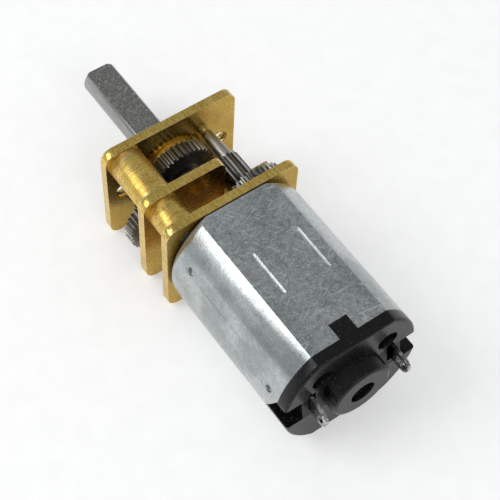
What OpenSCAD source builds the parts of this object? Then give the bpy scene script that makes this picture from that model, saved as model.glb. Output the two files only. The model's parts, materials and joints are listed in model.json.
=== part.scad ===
// Micro metal gearmotor: brush motor, four spur stages between three brass plates, D shaft.
// X runs along the output shaft and points out of the gearbox, Z is up, and the origin is the
// centre of the front plate's front face.

/* [Gearbox] */
// Width of the plates and of the motor across its round sides
plate_w = 12; // [11.6:0.1:12.4]
// Height of the plates and of the motor across its flats
plate_h = 10; // [9.8:0.1:10.4]
// Thickness of the front and rear plates
plate_t = 0.75; // [0.7:0.05:0.8]
// Thickness of the middle plate
middle_t = 0.8; // [0.7:0.05:0.85]
// Distance from the front plate's front face to the motor
gearbox_len = 9.1; // [9.1:0.05:9.4]
// Distance from the front plate's front face to the middle plate
middle_at = 5.2; // [5.2:0.05:5.25]
// Distance between the two tapped mounting holes
mount_pitch = 9; // [8.8:0.1:9.2]

/* [Gears] */
// Module of every gear
gear_module = 0.155; // [0.153:0.001:0.156]
// Pressure angle of the teeth
pressure_angle = 25; // [22:1:26]
// Play between meshing teeth at the pitch circle
backlash = 0.04; // [0.03:0.005:0.06]
// Direction from the shaft to the upper arbor, from the left side upwards
arbor_angle = 145.6; // [144:0.2:147]

/* [Output shaft] */
// Shaft diameter
shaft_d = 3; // [2.8:0.1:3]
// Length of the shaft in front of the front plate
shaft_out = 10.3; // [9:0.1:14]
// Height left across the D flat
shaft_across = 2.5; // [2.3:0.05:2.6]

/* [Motor] */
// Length of the steel can
can_len = 13.85; // [13.5:0.05:15]
// Wall of the steel can
can_wall = 0.5; // [0.4:0.05:0.6]
// Thickness of the cap's rim behind the can
cap_rim = 1; // [0.9:0.05:1.2]
// Length of the bearing boss behind the rim
boss_len = 1.45; // [1.3:0.05:1.8]

/* [Hidden] */
$fn = 96;
// cutters overlap a face by eps, or reach past it by over
eps = 0.01;
over = 1;

brass = "#b8923c";
ground_steel = "#9a9b98";
gear_steel = "#6f706f";
plated_steel = "#b9bfc0";
black_plastic = "#1c1c1d";
copper = "#b5652f";
ferrite = "#3a3b3d";
bronze = "#94703a";
tinned = "#c9c9c4";
nylon = "#e8e6dc";

// tooth counts, from the motor to the output shaft
motor_teeth = 16;
first_teeth = 32;
first_pinion_teeth = 9;
second_teeth = 39;
second_pinion_teeth = 13;
third_teeth = 35;
third_pinion_teeth = 10;
output_teeth = 38;

// the eight gears sit on three axes that are one centre distance apart
centre_distance = gear_module * (motor_teeth + first_teeth) / 2;
arbor_y = centre_distance * cos(arbor_angle);
arbor_z = centre_distance * sin(arbor_angle);
addendum = 0.85;
dedendum = 1.05;

// widths of the gears and the gaps beside them
output_gear_w = 1.25;
third_wheel_w = 1;
second_wheel_w = 0.85;
first_wheel_w = 0.7;
flange_gap = 0.05;
third_wheel_gap = 0.35;
plate_gap = 0.2;
wheel_gap = 0.15;
motor_pinion_out = 0.2;

// places along the shaft
middle_front = -middle_at;
middle_back = middle_front - middle_t;
rear_back = -gearbox_len;
rear_front = rear_back + plate_t;
flange_t = 0.35;
output_gear_front = -plate_t - flange_t - flange_gap;
output_gear_back = output_gear_front - output_gear_w;
third_wheel_front = output_gear_back - third_wheel_gap;
third_wheel_back = third_wheel_front - third_wheel_w;
second_front = output_gear_back - plate_gap;
second_wheel_back = middle_front + plate_gap;
second_wheel_front = second_wheel_back + second_wheel_w;
first_front = second_wheel_front + wheel_gap;
first_wheel_back = rear_front + plate_gap + flange_gap;
first_wheel_front = first_wheel_back + first_wheel_w;
motor_pinion_back = first_wheel_back - wheel_gap;
motor_pinion_front = first_wheel_front + motor_pinion_out;

// the first pinion's smooth cone, which runs on towards the front plate
cone_r = 0.56;
cone_tip_r = 0.46;
cone_front = -plate_t - flange_t;

// pins, journals and their running fits
arbor_r = 0.4;
journal_r = 0.6;
motor_shaft_r = 0.5;
shaft_r = shaft_d / 2;
running_fit = 0.02;

// posts on one diagonal, with a long screw through each pair
post_y = 4.22;
post_z = 3.4;
front_post_r = 1.45;
rear_post_r = 1.4;
screw_r = 0.5;
screw_hole_r = 0.56;
screw_head_r = 0.95;
screw_head_t = 0.45;
slot_w = 0.22;
slot_t = 0.2;
corner_r = 1;

// output bushing and the shaft's collar
flange_r = 2.8;
sleeve_r = 2;
sleeve_out = 0.7;
sleeve_chamfer = 0.1;
journal_chamfer = 0.1;
relief_from = sleeve_out + 0.05;
relief_r = 1.3;
relief_len = 0.65;
collar_r = shaft_r - 0.02;
flat_from = 2.1;
tip_chamfer = 0.2;

// tapped mounting holes and motor screws
mount_r = 0.8;
motor_screw_y = 4.2;

// the middle plate's open corner, which clears the first pinion
notch_y = -1.4;
notch_z = 0.9;
notch_corner = 0.7;

// motor can
can_r = plate_w / 2;
can_h = plate_h / 2;
can_back = rear_back - can_len;
can_edge = 0.8;
can_flat_edge = 0.3;
can_boss_r = 2;
can_boss_fit = 0.05;
can_boss_out = 0.6;
bearing_r = 1.5;
bearing_len = 1.2;
groove_y = 2;
groove_len = 3.7;
groove_front = rear_back - 4.82;
groove_r = 0.84;
groove_depth = 0.13;
key_half_w = 0.8;
key_len = 1.35;
window_top = 1.1;
window_low = -1.9;
window_bottom = -3.6;
window_corner = -2.6;
window_len = 1.55;
punch_r = 0.33;
punch_depth = 0.2;
front_punch_x = rear_back - 2.25;
front_punch_angle = 26;
rear_punch_x = can_back + 1.15;
rear_punch_angle = 12;

// magnets, rotor and commutator
magnet_in_r = 3.9;
magnet_gap = 0.04;
magnet_front = rear_back - 2.6;
magnet_len = 8.4;
magnet_half_w = 4.3;
magnet_in_y = 2.5;
core_r = 3.5;
core_front = rear_back - 3.6;
core_len = 6;
hub_r = 1.15;
web_w = 1.1;
shoe_in_r = 2.95;
shoe_half = 50;
coil_w = 2.5;
coil_in = 1.25;
coil_out = 2.85;
coil_over = 0.8;
coil_gap = 0.05;
poles = 3;
bar_r = 1.15;
bar_in_r = 0.85;
bar_len = 1.5;
bar_slot = 0.2;
bar_lip = 0.4;
bar_front = core_front - core_len - coil_over - bar_lip - 0.1;
washer_r = 1;
washer_t = 0.25;
front_washer = core_front + coil_over + 0.2;

// end cap, whose lower half stands a little further back than its rim
cap_back = can_back - cap_rim;
platform_back = cap_back - 0.35;
boss_back = cap_back - boss_len;
platform_top = -1;
platform_ramp = 1.85;
plug_len = 1.6;
plug_wall = 0.7;
cap_edge = 0.25;
boss_r = 2.6;
boss_edge = 0.3;
boss_edge_mid = boss_edge * (1 - cos(45));
boss_root = can_back - 0.25;
boss_hole_r = 1.05;
rear_bearing_front = can_back + 0.25;
rear_bearing_back = boss_back + 0.75;
rotor_shaft_back = rear_bearing_back + 0.1;
hole_depth = 0.6;
hole_r = 0.88;
right_hole = [-3.1, 2.3];
left_hole = [2.8, 2.6];
side_notch_y = 4.5;
side_notch_low = -0.95;
side_notch_top = 0.9;
window_notch_y = 5.1;

// terminals and brushes
terminal_y = 3.7;
terminal_z = 0.45;
terminal_t = 0.3;
terminal_half_w = 0.78;
terminal_out = 2.1;
terminal_front = can_back + 1.3;
left_droop = 17;
eye_half_w = 0.42;
eye_len = 1.15;
eye_from_tip = 0.3;
slot_in_y = 3.25;
slot_out_y = 3.9;
slot_low = -0.5;
slot_top = 1.32;
brush_t = 0.12;
brush_w = 0.9;
brush_foot = 0.3;
brush_gap = 0.03;

// ---- helpers ----

// Extrude an outline in the Y-Z plane from x = a to x = b
module along_x(a, b) {
    translate([a, 0, 0])
        rotate([90, 0, 90])
            linear_extrude(b - a)
                children();
}

// Extrude an outline in the X-Z plane, centred on y = 0
module along_y(width) {
    rotate([90, 0, 0])
        linear_extrude(width, center = true)
            children();
}

// Turn a profile of [radius, x] points about the shaft axis
module turned() {
    rotate([90, 0, 90])
        rotate_extrude()
            children();
}

module rod(a, b, r) {
    along_x(a, b)
        circle(r);
}

module ring(a, b, outer, inner) {
    along_x(a, b)
        difference() {
            circle(outer);
            circle(inner);
        }
}

// Put children on the two posts' axes
module at_posts() {
    for (side = [1, -1])
        translate([0, side * post_y, side * post_z])
            children();
}

module plate_outline() {
    square([plate_w - 2 * corner_r, plate_h], center = true);
    square([plate_w, plate_h - 2 * corner_r], center = true);
    for (y = [-1, 1])
        for (z = [-1, 1])
            translate([y * (plate_w / 2 - corner_r), z * (plate_h / 2 - corner_r)])
                circle(corner_r);
}

// A round can or cap outline with two flats
module can_outline(r, half_h) {
    intersection() {
        circle(r);
        square([3 * r, 2 * half_h], center = true);
    }
}

// A slotted countersunk screw that points towards -X, its head flush at x = head_at
module slotted_screw(head_at, length) {
    difference() {
        turned()
            polygon([
                [0, head_at - length],
                [screw_r, head_at - length],
                [screw_r, head_at - screw_head_t],
                [screw_head_r, head_at],
                [0, head_at]
            ]);
        translate([head_at - slot_t, -screw_head_r - eps, -slot_w / 2])
            cube([slot_t + eps, 2 * screw_head_r + 2 * eps, slot_w]);
    }
}

module countersink(head_at) {
    turned()
        polygon([
            [0, head_at - screw_head_t],
            [screw_r, head_at - screw_head_t],
            [screw_head_r, head_at],
            [screw_head_r, head_at + eps],
            [0, head_at + eps]
        ]);
}

// ---- gears ----

function pitch_r(teeth) = gear_module * teeth / 2;
function tip_r(teeth) = pitch_r(teeth) + addendum * gear_module;
function root_r(teeth) = pitch_r(teeth) - dedendum * gear_module;
function involute(a) = tan(a) * 180 / PI - a;

// Half of a tooth's angle at radius r
function half_tooth(teeth, r) =
    let (base = pitch_r(teeth) * cos(pressure_angle),
         slope = r > base ? acos(base / r) : 0,
         thinned = backlash / 4 / pitch_r(teeth) * 180 / PI)
    90 / teeth - thinned + involute(pressure_angle) - involute(slope);

function polar(r, a) = [r * cos(a), r * sin(a)];

function gear_points(teeth) =
    let (radii = [root_r(teeth), pitch_r(teeth), tip_r(teeth)])
    [for (i = [0 : teeth - 1])
        let (middle = i * 360 / teeth)
        each concat(
            [for (k = [0 : 2]) polar(radii[k], middle - half_tooth(teeth, radii[k]))],
            [for (k = [2 : -1 : 0]) polar(radii[k], middle + half_tooth(teeth, radii[k]))]
        )];

// A spur gear from x = a to x = b, with the middle of one tooth at the angle tooth_at
module spur(teeth, a, b, bore_r, tooth_at) {
    along_x(a, b)
        difference() {
            rotate(tooth_at)
                polygon(gear_points(teeth));
            circle(bore_r);
        }
}

module on_upper_arbor() {
    translate([0, arbor_y, arbor_z])
        children();
}

module on_lower_arbor() {
    translate([0, -arbor_y, -arbor_z])
        children();
}

// ---- gearbox frame ----

module front_plate() {
    color(brass)
        difference() {
            along_x(-plate_t, 0)
                difference() {
                    plate_outline();
                    circle(sleeve_r);
                    for (side = [1, -1]) {
                        translate([side * mount_pitch / 2, 0])
                            circle(mount_r);
                        translate([side * arbor_y, side * arbor_z])
                            circle(arbor_r);
                        translate([side * post_y, side * post_z])
                            circle(screw_r);
                    }
                }
            at_posts()
                countersink(0);
        }
}

module middle_plate() {
    color(brass)
        along_x(middle_back, middle_front)
            difference() {
                plate_outline();
                translate([-plate_w, notch_z])
                    square([plate_w + notch_y, plate_h]);
                translate([notch_y, plate_h / 2 - notch_corner])
                    difference() {
                        square(notch_corner);
                        translate([notch_corner, 0])
                            circle(notch_corner);
                    }
                circle(journal_r + running_fit);
                translate([-arbor_y, -arbor_z])
                    circle(arbor_r);
                for (side = [1, -1])
                    translate([side * post_y, side * post_z])
                        circle(screw_hole_r);
            }
}

module rear_plate() {
    color(brass)
        difference() {
            along_x(rear_back, rear_front)
                difference() {
                    plate_outline();
                    circle(can_boss_r + can_boss_fit);
                    translate([arbor_y, arbor_z])
                        circle(arbor_r);
                    for (side = [1, -1]) {
                        translate([side * post_y, side * post_z])
                            circle(screw_r);
                        translate([side * motor_screw_y, 0])
                            circle(screw_r);
                    }
                }
            for (side = [1, -1])
                translate([0, side * motor_screw_y, 0])
                    countersink(rear_front);
        }
}

module post(a, b, r, side) {
    color(brass)
        translate([0, side * post_y, side * post_z])
            ring(a, b, r, screw_hole_r);
}

module front_post_upper() { post(middle_front, -plate_t, front_post_r, 1); }
module front_post_lower() { post(middle_front, -plate_t, front_post_r, -1); }
module rear_post_upper() { post(rear_front, middle_back, rear_post_r, 1); }
module rear_post_lower() { post(rear_front, middle_back, rear_post_r, -1); }

module gearbox_screws() {
    color(ground_steel)
        at_posts()
            slotted_screw(0, gearbox_len);
}

module motor_screws() {
    color(ground_steel)
        for (side = [1, -1])
            translate([0, side * motor_screw_y, 0])
                slotted_screw(rear_front, plate_t + can_wall);
}

module output_bushing() {
    color(brass)
        turned()
            polygon([
                [shaft_r + running_fit, -plate_t - flange_t],
                [flange_r, -plate_t - flange_t],
                [flange_r, -plate_t],
                [sleeve_r, -plate_t],
                [sleeve_r, sleeve_out - sleeve_chamfer],
                [sleeve_r - sleeve_chamfer, sleeve_out],
                [shaft_r + running_fit, sleeve_out]
            ]);
}

module arbor_upper() {
    color(ground_steel)
        on_upper_arbor()
            rod(rear_back, 0, arbor_r);
}

module arbor_lower() {
    color(ground_steel)
        on_lower_arbor()
            rod(middle_back, 0, arbor_r);
}

// ---- output shaft and gear train ----

module output_shaft() {
    color(ground_steel)
        difference() {
            turned()
                polygon([
                    [0, middle_back - journal_chamfer],
                    [journal_r - journal_chamfer, middle_back - journal_chamfer],
                    [journal_r, middle_back],
                    [journal_r, output_gear_back],
                    [shaft_r, output_gear_back],
                    [shaft_r, relief_from],
                    [relief_r, relief_from],
                    [relief_r, relief_from + relief_len],
                    [collar_r, relief_from + relief_len],
                    [collar_r, flat_from],
                    [shaft_r, flat_from],
                    [shaft_r, shaft_out - tip_chamfer],
                    [shaft_r - tip_chamfer, shaft_out],
                    [0, shaft_out]
                ]);
            translate([flat_from, -shaft_d, shaft_across - shaft_r])
                cube([shaft_out, 2 * shaft_d, shaft_d]);
        }
}

module output_gear() {
    color(gear_steel)
        spur(output_teeth, output_gear_back, output_gear_front, shaft_r,
             arbor_angle + 180 + 180 / output_teeth);
}

module first_wheel() {
    color(gear_steel)
        on_upper_arbor()
            spur(first_teeth, first_wheel_back, first_wheel_front, root_r(first_pinion_teeth),
                 arbor_angle + 180 + 180 / first_teeth);
}

module first_pinion() {
    color(ground_steel)
        on_upper_arbor() {
            spur(first_pinion_teeth, first_wheel_front, first_front, arbor_r + running_fit,
                 arbor_angle + 180);
            ring(first_wheel_back, first_wheel_front, root_r(first_pinion_teeth),
                 arbor_r + running_fit);
            turned()
                polygon([
                    [arbor_r + running_fit, first_front],
                    [cone_r, first_front],
                    [cone_tip_r, cone_front],
                    [arbor_r + running_fit, cone_front]
                ]);
        }
}

module second_wheel() {
    color(gear_steel)
        spur(second_teeth, second_wheel_back, second_wheel_front, root_r(second_pinion_teeth),
             arbor_angle + 180 / second_teeth);
}

module second_pinion() {
    color(ground_steel) {
        spur(second_pinion_teeth, second_wheel_front, second_front, journal_r + running_fit,
             arbor_angle + 180);
        ring(second_wheel_back, second_wheel_front, root_r(second_pinion_teeth),
             journal_r + running_fit);
    }
}

module third_wheel() {
    color(gear_steel)
        on_lower_arbor()
            spur(third_teeth, third_wheel_back, third_wheel_front, root_r(third_pinion_teeth),
                 arbor_angle + 180 / third_teeth);
}

module third_pinion() {
    color(ground_steel)
        on_lower_arbor() {
            spur(third_pinion_teeth, third_wheel_front, output_gear_front, arbor_r + running_fit,
                 arbor_angle);
            ring(third_wheel_back, third_wheel_front, root_r(third_pinion_teeth),
                 arbor_r + running_fit);
        }
}

// ---- rotor ----

module motor_pinion() {
    color(brass)
        spur(motor_teeth, motor_pinion_back, motor_pinion_front, motor_shaft_r,
             arbor_angle);
}

module rotor_shaft() {
    color(ground_steel)
        rod(rotor_shaft_back, motor_pinion_front, motor_shaft_r);
}

module rotor_core() {
    color(ferrite)
        along_x(core_front - core_len, core_front)
            difference() {
                union() {
                    circle(hub_r);
                    for (i = [0 : poles - 1])
                        rotate(i * 360 / poles) {
                            translate([0, -web_w / 2])
                                square([(shoe_in_r + core_r) / 2, web_w]);
                            pole_shoe();
                        }
                }
                circle(motor_shaft_r);
            }
}

// One pole's shoe, an arc that stops short of the next pole's
module pole_shoe() {
    reach = 2 * core_r;
    intersection() {
        difference() {
            circle(core_r);
            circle(shoe_in_r);
        }
        polygon([[0, 0], polar(reach, -shoe_half), [reach, 0], polar(reach, shoe_half)]);
    }
}

module rotor_coils() {
    color(copper)
        intersection() {
            rod(core_front - core_len - coil_over, core_front + coil_over, shoe_in_r - coil_gap);
            for (i = [0 : poles - 1])
                rotate([i * 360 / poles, 0, 0])
                    coil();
        }
}

// One winding, a block with room for its pole's web
module coil() {
    difference() {
        translate([core_front - core_len - coil_over, coil_in, -coil_w / 2])
            cube([core_len + 2 * coil_over, coil_out - coil_in, coil_w]);
        translate([core_front - core_len, coil_in - eps, -web_w / 2])
            cube([core_len, coil_out - coil_in + 2 * eps, web_w]);
        coil_clearance();
    }
}

// The neighbouring coils leave this room around a winding
module coil_clearance() {
    room = 2 * coil_out;
    for (side = [1, -1])
        rotate([side * 60, 0, 0])
            translate([core_front - core_len - 2 * coil_over, -coil_gap,
                       side > 0 ? -coil_gap : coil_gap - room])
                cube([core_len + 4 * coil_over, room, room]);
}

module commutator_hub() {
    color(black_plastic)
        difference() {
            union() {
                rod(bar_front - bar_len, bar_front, bar_in_r);
                rod(bar_front, bar_front + bar_lip, bar_r + bar_lip);
            }
            rod(bar_front - bar_len - over, bar_front + over, motor_shaft_r);
        }
}

module commutator_bars() {
    color(copper)
        difference() {
            ring(bar_front - bar_len, bar_front, bar_r, bar_in_r);
            for (i = [0 : poles - 1])
                rotate([i * 360 / poles + 60, 0, 0])
                    translate([bar_front - bar_len - over, 0, -bar_slot / 2])
                        cube([bar_len + 2 * over, 2 * bar_r, bar_slot]);
        }
}

module thrust_washers() {
    color(nylon) {
        ring(bar_front - bar_len - washer_t, bar_front - bar_len, washer_r, motor_shaft_r);
        ring(front_washer, front_washer + washer_t, washer_r, motor_shaft_r);
    }
}

// ---- motor shell ----

// A drawn can whose round sides and two flats curve in to the front face, each by its own radius
module can_solid(r, half_h, back, front, edge, flat_edge) {
    intersection() {
        turned()
            rounded_profile(0, r, back, front, edge);
        along_y(3 * r)
            rounded_side(half_h, back, front, flat_edge);
    }
}

// Half-profile of a disc from one radius to another, its outer front edge rounded
module rounded_profile(inner, outer, back, front, edge) {
    translate([inner, back])
        square([outer - inner, front - edge - back]);
    translate([inner, front - edge - eps])
        square([outer - edge - inner, edge + eps]);
    translate([outer - edge, front - edge])
        circle(edge);
}

// Side view of a slab that is half_h high each way, its two front corners rounded
module rounded_side(half_h, back, front, edge) {
    translate([back, -half_h])
        square([front - edge - back, 2 * half_h]);
    translate([front - edge - eps, edge - half_h])
        square([edge + eps, 2 * (half_h - edge)]);
    for (side = [1, -1])
        translate([front - edge, side * (half_h - edge)])
            circle(edge);
}

// A round-bottomed groove pressed into one of the can's flats
module can_groove(y, side) {
    translate([0, y, side * (can_h + groove_r - groove_depth)]) {
        rod(groove_front - groove_len, groove_front, groove_r);
        for (x = [groove_front - groove_len, groove_front])
            translate([x, 0, 0])
                sphere(groove_r);
    }
}

// Windows in the can's rear edge, which the cap's keys fill
module key_windows(depth) {
    for (side = [1, -1])
        translate([can_back - eps, -key_half_w, side > 0 ? can_h - depth : -can_h - eps])
            cube([key_len + eps, 2 * key_half_w, depth + eps]);
}

module side_windows(inner_y) {
    for (side = [1, -1])
        translate([0, side * (can_r + inner_y) / 2, 0])
            along_y(can_r - inner_y + 2 * eps)
                polygon([
                    [can_back - eps, window_top],
                    [can_back + window_len, window_low],
                    [can_back + window_len, window_corner],
                    [can_back - eps, window_bottom]
                ]);
}

// A round dent in the can's side, at an angle above the middle
module punch_mark(x, angle) {
    rotate([angle, 0, 0])
        translate([x, can_r, 0])
            rotate([90, 0, 0])
                cylinder(h = 2 * punch_depth, r = punch_r, center = true);
}

module motor_can() {
    inner_front = rear_back - can_wall;
    color(plated_steel)
        difference() {
            union() {
                can_solid(can_r, can_h, can_back, rear_back, can_edge, can_flat_edge);
                rod(rear_back - can_wall, rear_back + can_boss_out, can_boss_r);
            }
            can_solid(can_r - can_wall, can_h - can_wall, can_back - over, inner_front,
                      can_edge - can_wall, can_edge - can_wall);
            rod(inner_front - over, rear_back + can_boss_out + over, bearing_r);
            for (side = [1, -1]) {
                translate([0, side * motor_screw_y, 0])
                    rod(inner_front - over, rear_back + over, screw_r);
                for (y = [1, -1])
                    can_groove(y * groove_y, side);
                mirror([0, side > 0 ? 0 : 1, 0]) {
                    punch_mark(front_punch_x, front_punch_angle);
                    punch_mark(rear_punch_x, rear_punch_angle);
                }
            }
            key_windows(can_wall);
            side_windows(can_r - 2 * can_wall);
        }
}

module front_bearing() {
    color(bronze)
        ring(rear_back + can_boss_out - bearing_len, rear_back + can_boss_out, bearing_r,
             motor_shaft_r + running_fit);
}

module magnet(side) {
    color(ferrite)
        along_x(magnet_front - magnet_len, magnet_front)
            intersection() {
                difference() {
                    circle(can_r - can_wall - magnet_gap);
                    circle(magnet_in_r);
                }
                translate([side * (magnet_in_y + can_r) / 2, 0])
                    square([can_r - magnet_in_y, 2 * magnet_half_w], center = true);
            }
}

module magnet_left() { magnet(1); }
module magnet_right() { magnet(-1); }

// ---- end cap, terminals and brushes ----

// A slice of the cap whose rear edge is rounded all the way round
module cap_slab(back, front) {
    mirror([1, 0, 0])
        can_solid(can_r, can_h, -front, -back, cap_edge, cap_edge);
}

module end_cap() {
    plug_r = can_r - can_wall;
    plug_h = can_h - can_wall;
    color(black_plastic)
        difference() {
            union() {
                cap_slab(cap_back, can_back);
                intersection() {
                    cap_slab(platform_back, can_back);
                    along_y(plate_w + 2 * over)
                        polygon([
                            [platform_back - over, -can_h - over],
                            [can_back, -can_h - over],
                            [can_back, platform_top + platform_ramp],
                            [cap_back, platform_top + platform_ramp],
                            [platform_back, platform_top],
                            [platform_back - over, platform_top]
                        ]);
                }
                along_x(can_back, can_back + plug_len)
                    can_outline(plug_r, plug_h);
                intersection() {
                    along_x(can_back, can_back + plug_len)
                        can_outline(can_r, can_h);
                    union() {
                        key_windows(can_wall);
                        side_windows(can_r - 2 * can_wall);
                    }
                }
            }
            along_x(can_back, can_back + plug_len + over)
                can_outline(plug_r - plug_wall, plug_h - plug_wall);
            cap_openings();
        }
    color(black_plastic)
        difference() {
            turned()
                polygon([
                    [boss_hole_r, boss_back],
                    [boss_r - boss_edge, boss_back],
                    [boss_r - boss_edge_mid, boss_back + boss_edge_mid],
                    [boss_r, boss_back + boss_edge],
                    [boss_r, boss_root],
                    [boss_hole_r, boss_root]
                ]);
            rod(rear_bearing_back, can_back, bearing_r);
        }
}

module cap_openings() {
    through = can_back + plug_len;
    rod(platform_back - over, through, bearing_r);
    for (hole = [left_hole, right_hole])
        translate([0, hole[0], hole[1]])
            rod(platform_back - over, cap_back + hole_depth, hole_r);
    for (side = [1, -1]) {
        translate([platform_back - over, side > 0 ? slot_in_y : -slot_out_y, slot_low])
            cube([through + over - platform_back, slot_out_y - slot_in_y, slot_top - slot_low]);
        translate([platform_back - over, side > 0 ? side_notch_y : -can_r - over, side_notch_low])
            cube([can_back - platform_back + over, can_r + over - side_notch_y,
                  side_notch_top - side_notch_low]);
    }
    // the notches run on under the can's windows
    intersection() {
        side_windows(window_notch_y);
        translate([can_back - eps, -can_r - over, side_notch_low])
            cube([window_len + 2 * eps, 2 * (can_r + over), side_notch_top - side_notch_low]);
    }
}

module rear_bearing() {
    color(bronze)
        ring(rear_bearing_back, rear_bearing_front, bearing_r, motor_shaft_r + running_fit);
}

// A flat tag with an eye, bent down outside the cap by the angle droop
module terminal(side, droop) {
    round_at = terminal_half_w - terminal_out;
    eye_back = eye_from_tip + eye_half_w - terminal_out;
    eye_front = eye_back + eye_len - 2 * eye_half_w;
    color(tinned)
        translate([cap_back, side * terminal_y, terminal_z])
            along_y(terminal_t) {
                translate([0, -terminal_half_w])
                    square([terminal_front - cap_back, 2 * terminal_half_w]);
                circle(terminal_half_w);
                rotate(droop)
                    difference() {
                        union() {
                            translate([round_at, -terminal_half_w])
                                square([-round_at, 2 * terminal_half_w]);
                            translate([round_at, 0])
                                circle(terminal_half_w);
                        }
                        for (x = [eye_back, eye_front])
                            translate([x, 0])
                                circle(eye_half_w);
                        translate([eye_back, -eye_half_w])
                            square([eye_front - eye_back, 2 * eye_half_w]);
                    }
            }
}

module terminal_left() { terminal(1, left_droop); }
module terminal_right() { terminal(-1, 0); }

// A springy strip from the terminal's inner end to the commutator
module brush(side) {
    contact_y = bar_r + brush_gap;
    inner = terminal_y - terminal_t / 2;
    foot = terminal_front - brush_foot;
    color(copper)
        translate([foot, contact_y * side, -brush_w / 2])
            mirror([0, side > 0 ? 0 : 1, 0]) {
                cube([brush_foot, inner - contact_y, brush_w]);
                cube([bar_front - brush_foot - foot, brush_t, brush_w]);
            }
}

module brush_left() { brush(1); }
module brush_right() { brush(-1); }

front_plate();
middle_plate();
rear_plate();
front_post_upper();
front_post_lower();
rear_post_upper();
rear_post_lower();
gearbox_screws();
motor_screws();
output_bushing();
arbor_upper();
arbor_lower();
output_shaft();
output_gear();
first_wheel();
first_pinion();
second_wheel();
second_pinion();
third_wheel();
third_pinion();
motor_pinion();
rotor_shaft();
rotor_core();
rotor_coils();
commutator_hub();
commutator_bars();
thrust_washers();
motor_can();
front_bearing();
magnet_left();
magnet_right();
end_cap();
rear_bearing();
brush_left();
brush_right();
terminal_left();
terminal_right();
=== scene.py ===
import json
import math

import bpy
from mathutils import Matrix, Vector


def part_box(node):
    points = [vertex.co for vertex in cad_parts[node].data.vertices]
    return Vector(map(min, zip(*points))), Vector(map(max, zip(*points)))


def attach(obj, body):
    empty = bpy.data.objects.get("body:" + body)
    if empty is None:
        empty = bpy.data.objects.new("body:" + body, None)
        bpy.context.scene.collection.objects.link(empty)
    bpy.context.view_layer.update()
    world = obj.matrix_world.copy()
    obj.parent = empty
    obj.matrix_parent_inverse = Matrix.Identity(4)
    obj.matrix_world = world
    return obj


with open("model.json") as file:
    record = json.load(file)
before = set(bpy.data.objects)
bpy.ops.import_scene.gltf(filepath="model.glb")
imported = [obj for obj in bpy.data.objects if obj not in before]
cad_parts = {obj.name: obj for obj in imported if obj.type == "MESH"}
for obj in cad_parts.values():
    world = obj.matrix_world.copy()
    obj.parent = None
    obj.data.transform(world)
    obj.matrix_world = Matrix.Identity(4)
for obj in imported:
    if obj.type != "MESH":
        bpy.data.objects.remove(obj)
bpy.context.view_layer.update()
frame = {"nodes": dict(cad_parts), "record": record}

MM = 0.001
NODES = frame["nodes"]


# ---- material building ----

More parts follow.
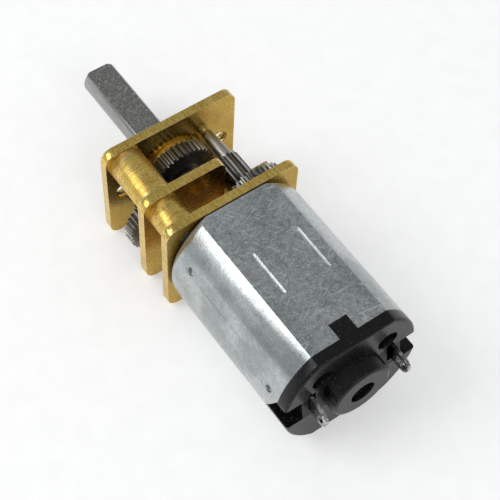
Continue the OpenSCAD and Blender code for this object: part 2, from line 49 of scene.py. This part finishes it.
class Graph:
    """A material's node tree, with short calls for the nodes that the surfaces share."""

    def __init__(self, name):
        self.material = bpy.data.materials.new(name)
        self.material.use_nodes = True
        self.tree = self.material.node_tree
        self.tree.nodes.clear()
        self.output = self.add("ShaderNodeOutputMaterial")
        self.shader = self.add("ShaderNodeBsdfPrincipled")
        self.link(self.shader.outputs[0], self.output.inputs[0])
        self.coords = self.add("ShaderNodeTexCoord")

    def add(self, kind, **settings):
        node = self.tree.nodes.new(kind)
        for key, value in settings.items():
            setattr(node, key, value)
        return node

    def link(self, source, target):
        self.tree.links.new(source, target)

    def place(self, scale=(1, 1, 1), move=(0, 0, 0), turn=0.0):
        """The surface's own place in millimetres, stretched by scale and moved.

        With a turn, in degrees about Z, the stretch follows the turned axes and move isn't used.
        """
        mapping = self.add("ShaderNodeMapping", vector_type="TEXTURE" if turn else "POINT")
        if turn:
            mapping.inputs["Rotation"].default_value = (0, 0, math.radians(turn))
            mapping.inputs["Scale"].default_value = [MM / s for s in scale]
            self.link(self.coords.outputs["Object"], mapping.inputs["Vector"])
            return mapping.outputs["Vector"]
        mapping.inputs["Scale"].default_value = [s / MM for s in scale]
        mapping.inputs["Location"].default_value = move
        self.link(self.coords.outputs["Object"], mapping.inputs["Vector"])
        return mapping.outputs["Vector"]

    def noise(self, per_mm, detail=3.0, stretch=(1, 1, 1), move=(0, 0, 0), rough=0.55, turn=0.0):
        """Noise with about per_mm lumps to the millimetre.

        A stretch under 1 draws the lumps out along that axis.
        """
        node = self.add("ShaderNodeTexNoise")
        node.inputs["Scale"].default_value = per_mm
        node.inputs["Detail"].default_value = detail
        node.inputs["Roughness"].default_value = rough
        self.link(self.place(stretch, move, turn), node.inputs["Vector"])
        return node.outputs["Fac"]

    def ramp(self, value, low, high, out_low=0.0, out_high=1.0):
        """Map value from low..high to out_low..out_high, held at both ends."""
        node = self.add("ShaderNodeMapRange", clamp=True)
        node.interpolation_type = "SMOOTHSTEP"
        node.inputs["From Min"].default_value = low
        node.inputs["From Max"].default_value = high
        node.inputs["To Min"].default_value = out_low
        node.inputs["To Max"].default_value = out_high
        self.link(value, node.inputs["Value"])
        return node.outputs["Result"]

    def math(self, operation, a, b=0.0):
        node = self.add("ShaderNodeMath", operation=operation)
        for socket, value in ((node.inputs[0], a), (node.inputs[1], b)):
            if isinstance(value, (int, float)):
                socket.default_value = value
            else:
                self.link(value, socket)
        return node.outputs[0]

    def mix(self, factor, first, second):
        """Blend two colours, each a socket or an (r, g, b)."""
        node = self.add("ShaderNodeMix", data_type="RGBA")
        self.link(factor, node.inputs["Factor"])
        for socket, value in ((node.inputs[6], first), (node.inputs[7], second)):
            if isinstance(value, tuple):
                socket.default_value = (*value, 1.0)
            else:
                self.link(value, socket)
        return node.outputs[2]

    def component(self, vector, axis):
        """A vector's X, Y or Z."""
        split = self.add("ShaderNodeSeparateXYZ")
        self.link(vector, split.inputs[0])
        return split.outputs["XYZ".index(axis)]

    def position(self, axis):
        """The surface's own place along an axis of the part, in millimetres."""
        return self.component(self.place(), axis)

    def along(self, axis):
        """How squarely the surface faces along an axis of the part, from -1 to 1."""
        return self.component(self.coords.outputs["Normal"], axis)

    def set(self, name, value):
        """Give one of the shader's own inputs a constant, a colour or a socket."""
        socket = self.shader.inputs[name]
        if isinstance(value, tuple):
            socket.default_value = (*value, 1.0)
        elif isinstance(value, (int, float)):
            socket.default_value = value
        else:
            self.link(value, socket)

    def bump(self, height, depth_mm, strength):
        node = self.add("ShaderNodeBump")
        node.inputs["Strength"].default_value = strength
        node.inputs["Distance"].default_value = depth_mm * MM
        self.link(height, node.inputs["Height"])
        self.link(node.outputs["Normal"], self.shader.inputs["Normal"])


# where along X the first pinion's smooth cone starts
CONE_BACK_MM = -4.0

# painted shade on the terminals near the cap starts at the first and is darkest from the second,
# along X
SHADE_BACK_MM = -25.1
SHADE_FULL_MM = -24.35


def brass(name, grain, rough):
    """Stamped or turned brass; grain stretches its machining streaks. The faces across X are
    painted darker as shade, the bevels carry a painted highlight, and painted glints lie mostly
    on the edges.
    """
    dark_streak = (0.36, 0.22, 0.04)
    glint = (0.98, 0.80, 0.36)
    dark_speck = (0.22, 0.13, 0.03)
    # colour of the painted highlight along the bevels
    bevel_highlight_colour = (1.0, 0.95, 0.70)
    g = Graph(name)
    facing = g.math("ABSOLUTE", g.along("X"))
    # faces across X get a darker copy of the brass below, as painted shade; the edges keep the
    # lit tone
    face = g.ramp(facing, 0.6, 0.9)
    # painted highlight: a band where the surface turns between the faces across X and the edges
    bevel_highlight = g.math("MULTIPLY", g.ramp(facing, 0.15, 0.4), g.ramp(facing, 0.8, 0.97, 1.0, 0.0))
    tarnish = g.ramp(g.noise(0.5, 4, move=(3, 1, 7)), 0.35, 0.7)
    streaks = g.noise(9, 3, stretch=grain, rough=0.75)
    fine = g.ramp(g.noise(6, 3, move=(2, 2, 2), rough=0.85), 0.53, 0.63)
    edge_tone = g.mix(tarnish, (0.84, 0.60, 0.155), (0.70, 0.47, 0.10))
    # the same brass made darker: painted shade for the faces across X
    shaded_face_tone = g.mix(tarnish, (0.66, 0.44, 0.095), (0.52, 0.33, 0.06))
    tone = g.mix(face, edge_tone, shaded_face_tone)
    tone = g.mix(g.ramp(streaks, 0.42, 0.62, 0.0, 0.7), tone, dark_streak)
    tone = g.mix(g.math("MULTIPLY", fine, g.ramp(face, 0.0, 1.0, 0.75, 0.12)), tone, glint)
    specks = g.ramp(g.noise(4, 2, move=(9, 2, 4)), 0.72, 0.78, 0.0, 0.6)
    tone = g.mix(specks, tone, dark_speck)
    # the painted highlight laid over the bevels
    g.set("Base Color", g.mix(g.math("MULTIPLY", bevel_highlight, 0.85), tone, bevel_highlight_colour))
    g.set("Metallic", 1.0)
    g.set("Roughness", g.ramp(g.noise(2, 3), 0.3, 0.7, rough, rough + 0.1))
    g.bump(streaks, 0.003, 0.3)
    return g.material


def ground_steel(name):
    """Ground steel: the D flat is grainy and dark, the round sides are smooth."""
    bright_nick = (0.62, 0.62, 0.58)
    g = Graph(name)
    flat = g.ramp(g.along("Z"), 0.97, 0.995)
    grain = g.noise(8, 4, rough=0.9)
    nicks = g.math("MAXIMUM",
                   g.ramp(g.noise(9, 3, stretch=(1, 0.14, 1), turn=25), 0.58, 0.64, 0.0, 0.8),
                   g.ramp(g.noise(9, 3, stretch=(1, 0.2, 1), turn=-40), 0.60, 0.66, 0.0, 0.7))
    side = g.mix(g.ramp(g.noise(6, 2, stretch=(0.1, 1, 1)), 0.35, 0.7),
                 (0.38, 0.38, 0.37), (0.30, 0.30, 0.29))
    face = g.mix(g.ramp(grain, 0.42, 0.60), (0.15, 0.15, 0.145), (0.42, 0.42, 0.40))
    face = g.mix(nicks, face, bright_nick)
    g.set("Base Color", g.mix(flat, side, face))
    g.set("Metallic", 1.0)
    g.set("Roughness", g.ramp(flat, 0.0, 1.0, 0.30, 0.42))
    g.bump(g.math("MULTIPLY", grain, flat), 0.010, 0.6)
    return g.material


def gear_steel(name, tooth_light, face_dark, smooth_from_mm=None):
    """Cut gears: the faces across X are dark with blotches, the teeth bright with tool marks.

    Forward of smooth_from_mm along X, where that is given, the steel is smooth and brighter.
    """
    blend_mm = 0.05
    g = Graph(name)
    facing = g.ramp(g.math("ABSOLUTE", g.along("X")), 0.6, 0.9)
    marks = g.noise(9, 2, stretch=(0.1, 1, 1))
    marked = g.ramp(marks, 0.35, 0.68)
    teeth = g.mix(marked, (tooth_light, tooth_light * 0.97, tooth_light * 0.9),
                  (tooth_light * 0.58, tooth_light * 0.56, tooth_light * 0.51))
    face_blotches = g.ramp(g.noise(1.2, 3), 0.35, 0.75)
    face = g.mix(face_blotches, (face_dark, face_dark, face_dark * 1.08),
                 (face_dark * 2.2, face_dark * 2.1, face_dark * 2.0))
    if smooth_from_mm is not None:
        smooth = g.ramp(g.position("X"), smooth_from_mm - blend_mm, smooth_from_mm + blend_mm)
        teeth = g.mix(smooth, teeth, g.mix(marked, (0.48, 0.47, 0.44), (0.32, 0.31, 0.29)))
    g.set("Base Color", g.mix(facing, teeth, face))
    g.set("Metallic", 1.0)
    g.set("Roughness", g.ramp(g.noise(4, 3), 0.3, 0.7, 0.34, 0.44))
    g.bump(marks, 0.003, 0.3)
    return g.material


def plated_steel(name):
    """Bright plating: a fine spangle with veins on the flats, nicks, hairlines and scratches.

    Where the surface turns towards the motor's ends, at the drawn corners, it is duller.
    """
    hair_turns = (38, -62, 80)
    spangle_dark = (0.25, 0.29, 0.29)
    vein_bright = (0.95, 0.98, 0.97)
    nick_bright = (0.90, 0.93, 0.93)
    pit_dark = (0.28, 0.30, 0.31)
    scratch_grey = (0.50, 0.52, 0.53)
    g = Graph(name)
    top = g.ramp(g.math("ABSOLUTE", g.along("Z")), 0.90, 0.99)
    spangle = g.ramp(g.noise(2.6, 5, rough=0.9), 0.42, 0.60)
    vein_noise = g.noise(2.2, 4, move=(1, 3, 2), rough=0.75)
    veins = g.ramp(g.math("ABSOLUTE", g.math("SUBTRACT", vein_noise, 0.5)), 0.0, 0.022, 1.0, 0.0)
    clouds = g.noise(0.3, 4, move=(2, 5, 1))
    scratches = g.ramp(g.noise(3, 2, stretch=(0.05, 1, 1), move=(4, 4, 0)), 0.62, 0.70, 0.0, 0.5)
    hairs = 0.0
    for turn in hair_turns:
        scores = g.noise(6.5, 2, stretch=(0.13, 1, 1), turn=turn)
        hairs = g.math("MAXIMUM", hairs, g.ramp(scores, 0.62, 0.69, 0.0, 0.6))
    pits = g.ramp(g.noise(2.5, 3, stretch=(0.5, 1, 1), move=(8, 1, 8), rough=0.8), 0.64, 0.72)
    base = g.mix(g.ramp(clouds, 0.40, 0.60), (0.53, 0.55, 0.55), (0.37, 0.40, 0.40))
    base = g.mix(g.math("MULTIPLY", spangle, g.ramp(top, 0.0, 1.0, 0.35, 0.85)), base,
                 spangle_dark)
    base = g.mix(g.math("MULTIPLY", veins, g.ramp(top, 0.0, 1.0, 0.06, 0.6)), base, vein_bright)
    nicks = g.ramp(g.noise(5, 3, move=(7, 7, 7), rough=0.85), 0.61, 0.67)
    marks = g.math("MAXIMUM", nicks, hairs)
    base = g.mix(g.math("MULTIPLY", marks, g.ramp(top, 0.0, 1.0, 0.2, 0.9)), base, nick_bright)
    base = g.mix(g.math("MULTIPLY", pits, 0.6), base, pit_dark)
    base = g.mix(scratches, base, scratch_grey)
    g.set("Base Color", base)
    drawn = g.ramp(g.math("ABSOLUTE", g.along("X")), 0.1, 0.5)
    g.set("Metallic", g.ramp(drawn, 0.0, 1.0, 1.0, 0.5))
    g.set("Roughness", g.math("ADD", g.ramp(spangle, 0.0, 1.0, 0.24, 0.34),
                              g.ramp(drawn, 0.0, 1.0, 0.0, 0.15)))
    g.bump(g.math("ADD", spangle, g.noise(1.2, 2)), 0.004, 0.4)
    return g.material


def black_plastic(name):
    """Moulded black nylon with a fine eroded texture."""
    pale_speck = (0.07, 0.07, 0.065)
    g = Graph(name)
    texture = g.noise(12, 3, rough=0.6)
    base = g.mix(g.ramp(g.noise(1.5, 3), 0.3, 0.7), (0.003, 0.003, 0.0035),
                 (0.006, 0.006, 0.0065))
    specks = g.ramp(g.noise(7, 2, move=(1, 8, 3)), 0.64, 0.70)
    g.set("Base Color", g.mix(specks, base, pale_speck))
    g.set("Roughness", g.ramp(texture, 0.3, 0.7, 0.24, 0.36))
    g.set("Specular IOR Level", 0.25)
    g.bump(texture, 0.006, 0.5)
    return g.material


def metal(name, light, dark, rough, per_mm=5, stretch=(1, 1, 1)):
    """A plain metal with grain: plating, screws, copper, bronze."""
    g = Graph(name)
    grain = g.noise(per_mm, 3, stretch=stretch)
    g.set("Base Color", g.mix(g.ramp(grain, 0.35, 0.7), light, dark))
    g.set("Metallic", 1.0)
    g.set("Roughness", g.ramp(grain, 0.3, 0.7, rough, rough + 0.14))
    g.bump(grain, 0.01, 0.5)
    return g.material


def tinned_tag(name):
    """Uneven bright tin on the terminals, painted dark in blotches near the cap's slots as
    shade.
    """
    # the black of the painted shade near the cap
    painted_shade_black = (0.035, 0.035, 0.035)
    g = Graph(name)
    lumps = g.noise(3, 3, rough=0.7)
    # painted shade on the terminals' bases near the cap, in blotches
    terminal_painted_shade = g.math("MULTIPLY", g.ramp(g.position("X"), SHADE_BACK_MM, SHADE_FULL_MM),
                  g.ramp(g.noise(5, 2), 0.40, 0.60, 1.0, 0.55))
    tin = g.mix(g.ramp(lumps, 0.42, 0.58), (0.55, 0.54, 0.52), (0.20, 0.195, 0.185))
    g.set("Base Color", g.mix(terminal_painted_shade, tin, painted_shade_black))
    g.set("Metallic", 1.0)
    g.set("Roughness", g.ramp(lumps, 0.3, 0.7, 0.10, 0.24))
    g.bump(lumps, 0.03, 0.6)
    return g.material


def dull(name, light, dark, rough, per_mm=4):
    """A surface that isn't metallic: magnet, nylon washer."""
    g = Graph(name)
    grain = g.noise(per_mm, 3)
    g.set("Base Color", g.mix(g.ramp(grain, 0.35, 0.7), light, dark))
    g.set("Roughness", g.ramp(grain, 0.3, 0.7, rough, rough + 0.1))
    g.bump(grain, 0.006, 0.4)
    return g.material


# grain drawn out along X, as on a sheared edge, and around X, as on turned work
THROUGH_X = (0.12, 1, 1)
ROUND_X = (1, 0.1, 0.1)

MATERIALS = {
    "brass": brass("stamped_brass", THROUGH_X, 0.20),
    "turned_brass": brass("turned_brass", ROUND_X, 0.34),
    "ground_steel": ground_steel("ground_steel"),
    "gear_steel": gear_steel("gear_steel", 0.33, 0.12),
    "pinion_steel": gear_steel("pinion_steel", 0.25, 0.12),
    "cone_pinion_steel": gear_steel("cone_pinion_steel", 0.25, 0.12, CONE_BACK_MM),
    "arbor_steel": metal("arbor_steel", (0.74, 0.74, 0.71), (0.56, 0.56, 0.53), 0.38, 6,
                         THROUGH_X),
    "screw_steel": metal("screw_steel", (0.55, 0.55, 0.54), (0.34, 0.34, 0.33), 0.3),
    "plated_steel": plated_steel("plated_steel"),
    "black_plastic": black_plastic("black_plastic"),
    "copper": metal("copper", (0.80, 0.40, 0.22), (0.55, 0.24, 0.11), 0.3, 6, ROUND_X),
    "laminated_steel": metal("laminated_steel", (0.40, 0.40, 0.41), (0.2, 0.2, 0.2), 0.4, 7,
                             ROUND_X),
    "magnet": dull("magnet", (0.09, 0.09, 0.10), (0.05, 0.05, 0.055), 0.6),
    "sintered_bronze": metal("sintered_bronze", (0.50, 0.37, 0.20), (0.30, 0.21, 0.11), 0.45, 9),
    "tinned_terminal": tinned_tag("tinned_terminal"),
    "washer_plastic": dull("washer_plastic", (0.80, 0.79, 0.73), (0.72, 0.70, 0.64), 0.5),
}

# nodes that look different from the rest of their CAD material slot
OWN_MATERIAL = {
    "front_post_upper": "turned_brass",
    "front_post_lower": "turned_brass",
    "rear_post_upper": "turned_brass",
    "rear_post_lower": "turned_brass",
    "output_bushing": "turned_brass",
    "motor_pinion": "turned_brass",
    "first_pinion": "cone_pinion_steel",
    "second_pinion": "pinion_steel",
    "third_pinion": "pinion_steel",
    "arbor_upper": "arbor_steel",
    "arbor_lower": "arbor_steel",
}
TOOTHED = ("_gear", "_wheel", "_pinion")

# how wide the bevel on a node's sharp edges is
EDGES_MM = {"motor_can": 0.10, "end_cap": 0.07, "output_shaft": 0.06, "front_plate": 0.12,
            "middle_plate": 0.12, "rear_plate": 0.12, "terminal_left": 0.06,
            "terminal_right": 0.06}
TOOTH_EDGE_MM = 0.012
SMALL_EDGE_MM = 0.03
SHARP_DEG = 28
WELD_M = 1e-7


def finish_edges(node, width_mm, segments):
    """Join the node's split vertices, then round its sharp edges and smooth its round faces."""
    weld = node.modifiers.new("weld", "WELD")
    weld.merge_threshold = WELD_M
    bevel = node.modifiers.new("edge", "BEVEL")
    bevel.width = width_mm * MM
    bevel.segments = segments
    bevel.limit_method = "ANGLE"
    bevel.angle_limit = math.radians(SHARP_DEG)
    bevel.use_clamp_overlap = True
    bevel.harden_normals = True


def dress_nodes():
    """Give every CAD node its material and a small edge radius."""
    slots = {row["node"]: row["material_slot"] for row in frame["record"]["subparts"]}
    for name, node in NODES.items():
        node.data.materials.clear()
        node.data.materials.append(MATERIALS[OWN_MATERIAL.get(name, slots[name])])
        toothed = name.endswith(TOOTHED)
        width = TOOTH_EDGE_MM if toothed else EDGES_MM.get(name, SMALL_EDGE_MM)
        finish_edges(node, width, 1 if toothed else 2)


HOLE_PITCH_MM = 9.0
PLATE_MM = 0.75
THREAD_R_MM = 0.8
THREAD_DEPTH_MM = 0.18
THREAD_PITCH_MM = 0.35
# half the ridge's foot, as a share of the pitch, and half its crest, as a share of half the foot
THREAD_FOOT = 0.4
THREAD_CREST = 0.1
THREAD_END_GAP_MM = 0.01
THREAD_STEPS = 32
THREAD_FADE_STEPS = 3


def add_thread(name, side):
    """The V-shaped ridge that winds through one of the front plate's tapped holes."""
    half = THREAD_FOOT * THREAD_PITCH_MM
    crest = THREAD_CREST * half
    first, last = -PLATE_MM + half + THREAD_END_GAP_MM, -half - THREAD_END_GAP_MM
    count = int(THREAD_STEPS * (last - first) / THREAD_PITCH_MM) + 1
    points = []
    faces = []
    for i in range(count):
        angle = 2 * math.pi * i / THREAD_STEPS
        x = first + THREAD_PITCH_MM * i / THREAD_STEPS
        fade = min(1.0, i / THREAD_FADE_STEPS, (count - 1 - i) / THREAD_FADE_STEPS)
        tip = THREAD_R_MM - THREAD_DEPTH_MM * fade
        for r, shift in ((THREAD_R_MM, -half), (tip, -crest), (tip, crest), (THREAD_R_MM, half)):
            points.append(Vector((x + shift, side * HOLE_PITCH_MM / 2 + r * math.cos(angle),
                                  r * math.sin(angle))) * MM)
        if i:
            old, new = 4 * (i - 1), 4 * i
            for k in range(4):
                faces.append((old + k, old + (k + 1) % 4, new + (k + 1) % 4, new + k))
    faces += [(3, 2, 1, 0), tuple(range(4 * count - 4, 4 * count))]
    mesh = bpy.data.meshes.new(name)
    mesh.from_pydata(points, [], faces)
    mesh.materials.append(MATERIALS["turned_brass"])
    ridge = bpy.data.objects.new(name, mesh)
    bpy.context.scene.collection.objects.link(ridge)
    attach(ridge, "housing")


# ---- studio ----

AIM = Vector((-10.893, -0.382, 0.0)) * MM
DISTANCE = 102.156 * MM
AZIMUTH = math.radians(128.769)
ELEVATION = math.radians(56.868)
ROLL = math.radians(3.821)
LENS_MM = 95.916
CLIP_START_M = 0.005
CLIP_END_M = 60


def add_camera():
    """The camera looks down over the motor's rear left corner."""
    forward = Vector((math.sin(AZIMUTH) * math.cos(ELEVATION),
                      math.cos(AZIMUTH) * math.cos(ELEVATION),
                      -math.sin(ELEVATION)))
    data = bpy.data.cameras.new("camera")
    data.lens = LENS_MM
    data.clip_start = CLIP_START_M
    data.clip_end = CLIP_END_M
    camera = bpy.data.objects.new("camera", data)
    turn = forward.to_track_quat("-Z", "Y").to_matrix() @ Matrix.Rotation(ROLL, 3, "Z")
    camera.matrix_world = Matrix.Translation(AIM - forward * DISTANCE) @ turn.to_4x4()
    bpy.context.scene.collection.objects.link(camera)
    bpy.context.scene.camera = camera


# name, place in metres, side in metres, power in watts
SOFTBOXES = (("upper_left", (0.14, 0.25, 0.27), 0.22, 0.48),
             ("rear", (-0.45, 0.05, 0.40), 0.30, 0.5))


def add_softbox(name, place, side, power):
    """A square soft light that shines at the motor and isn't seen itself."""
    data = bpy.data.lights.new(name, "AREA")
    data.size = side
    data.energy = power
    light = bpy.data.objects.new(name, data)
    light.location = place
    light.rotation_euler = (AIM - Vector(place)).to_track_quat("-Z", "Y").to_euler()
    light.visible_camera = False
    bpy.context.scene.collection.objects.link(light)


# the tent's grey by height, from 0 straight down to 1 straight up, and its cool tint
TENT_BOTTOM = (0.50, 0.52, 0.54, 1)
TENT_TOP = (0.40, 0.41, 0.41, 1)
TENT_WALLS = ((0.25, 0.46), (0.55, 0.42), (0.8, 0.42))
COOL = (1.0, 1.02, 1.03)


def add_world():
    """A tent of soft grey light, a little darker towards the top."""
    world = bpy.data.worlds.new("studio")
    world.use_nodes = True
    tree = world.node_tree
    coords = tree.nodes.new("ShaderNodeTexCoord")
    split = tree.nodes.new("ShaderNodeSeparateXYZ")
    ramp = tree.nodes.new("ShaderNodeValToRGB")
    tree.links.new(coords.outputs["Generated"], split.inputs[0])
    tree.links.new(split.outputs["Z"], ramp.inputs["Fac"])
    tree.links.new(ramp.outputs["Color"], tree.nodes["Background"].inputs["Color"])
    stops = ramp.color_ramp.elements
    stops[0].position, stops[0].color = 0.0, TENT_BOTTOM
    stops[1].position, stops[1].color = 1.0, TENT_TOP
    for position, level in TENT_WALLS:
        stops.new(position).color = (*(level * part for part in COOL), 1)
    tree.nodes["Background"].inputs["Strength"].default_value = 1.0
    bpy.context.scene.world = world


FLOOR_GAP_MM = 0.02
FLOOR_HALF_M = 30.0
FLOOR_GLOW = 0.38


def add_floor():
    """A pale sheet that glows a little, so that the motor stands on clean white."""
    low = min(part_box(name)[0].z for name in NODES) - FLOOR_GAP_MM * MM
    half = FLOOR_HALF_M
    corners = [(-half, -half, low), (half, -half, low), (half, half, low), (-half, half, low)]
    mesh = bpy.data.meshes.new("floor")
    mesh.from_pydata(corners, [], [(0, 1, 2, 3)])
    floor = bpy.data.objects.new("floor", mesh)
    g = Graph("floor_paper")
    fibre = g.noise(0.6, 3)
    g.set("Base Color", g.mix(g.ramp(fibre, 0.3, 0.7), (0.86, 0.86, 0.86), (0.82, 0.82, 0.82)))
    g.set("Roughness", 0.9)
    g.set("Specular IOR Level", 0.0)
    g.set("Emission Color", (1.0, 1.0, 1.0))
    g.set("Emission Strength", FLOOR_GLOW)
    mesh.materials.append(g.material)
    bpy.context.scene.collection.objects.link(floor)


dress_nodes()
add_thread("thread_left", 1)
add_thread("thread_right", -1)
add_camera()
add_world()
add_floor()
for softbox in SOFTBOXES:
    add_softbox(*softbox)

bpy.context.scene.view_settings.view_transform = "Standard"
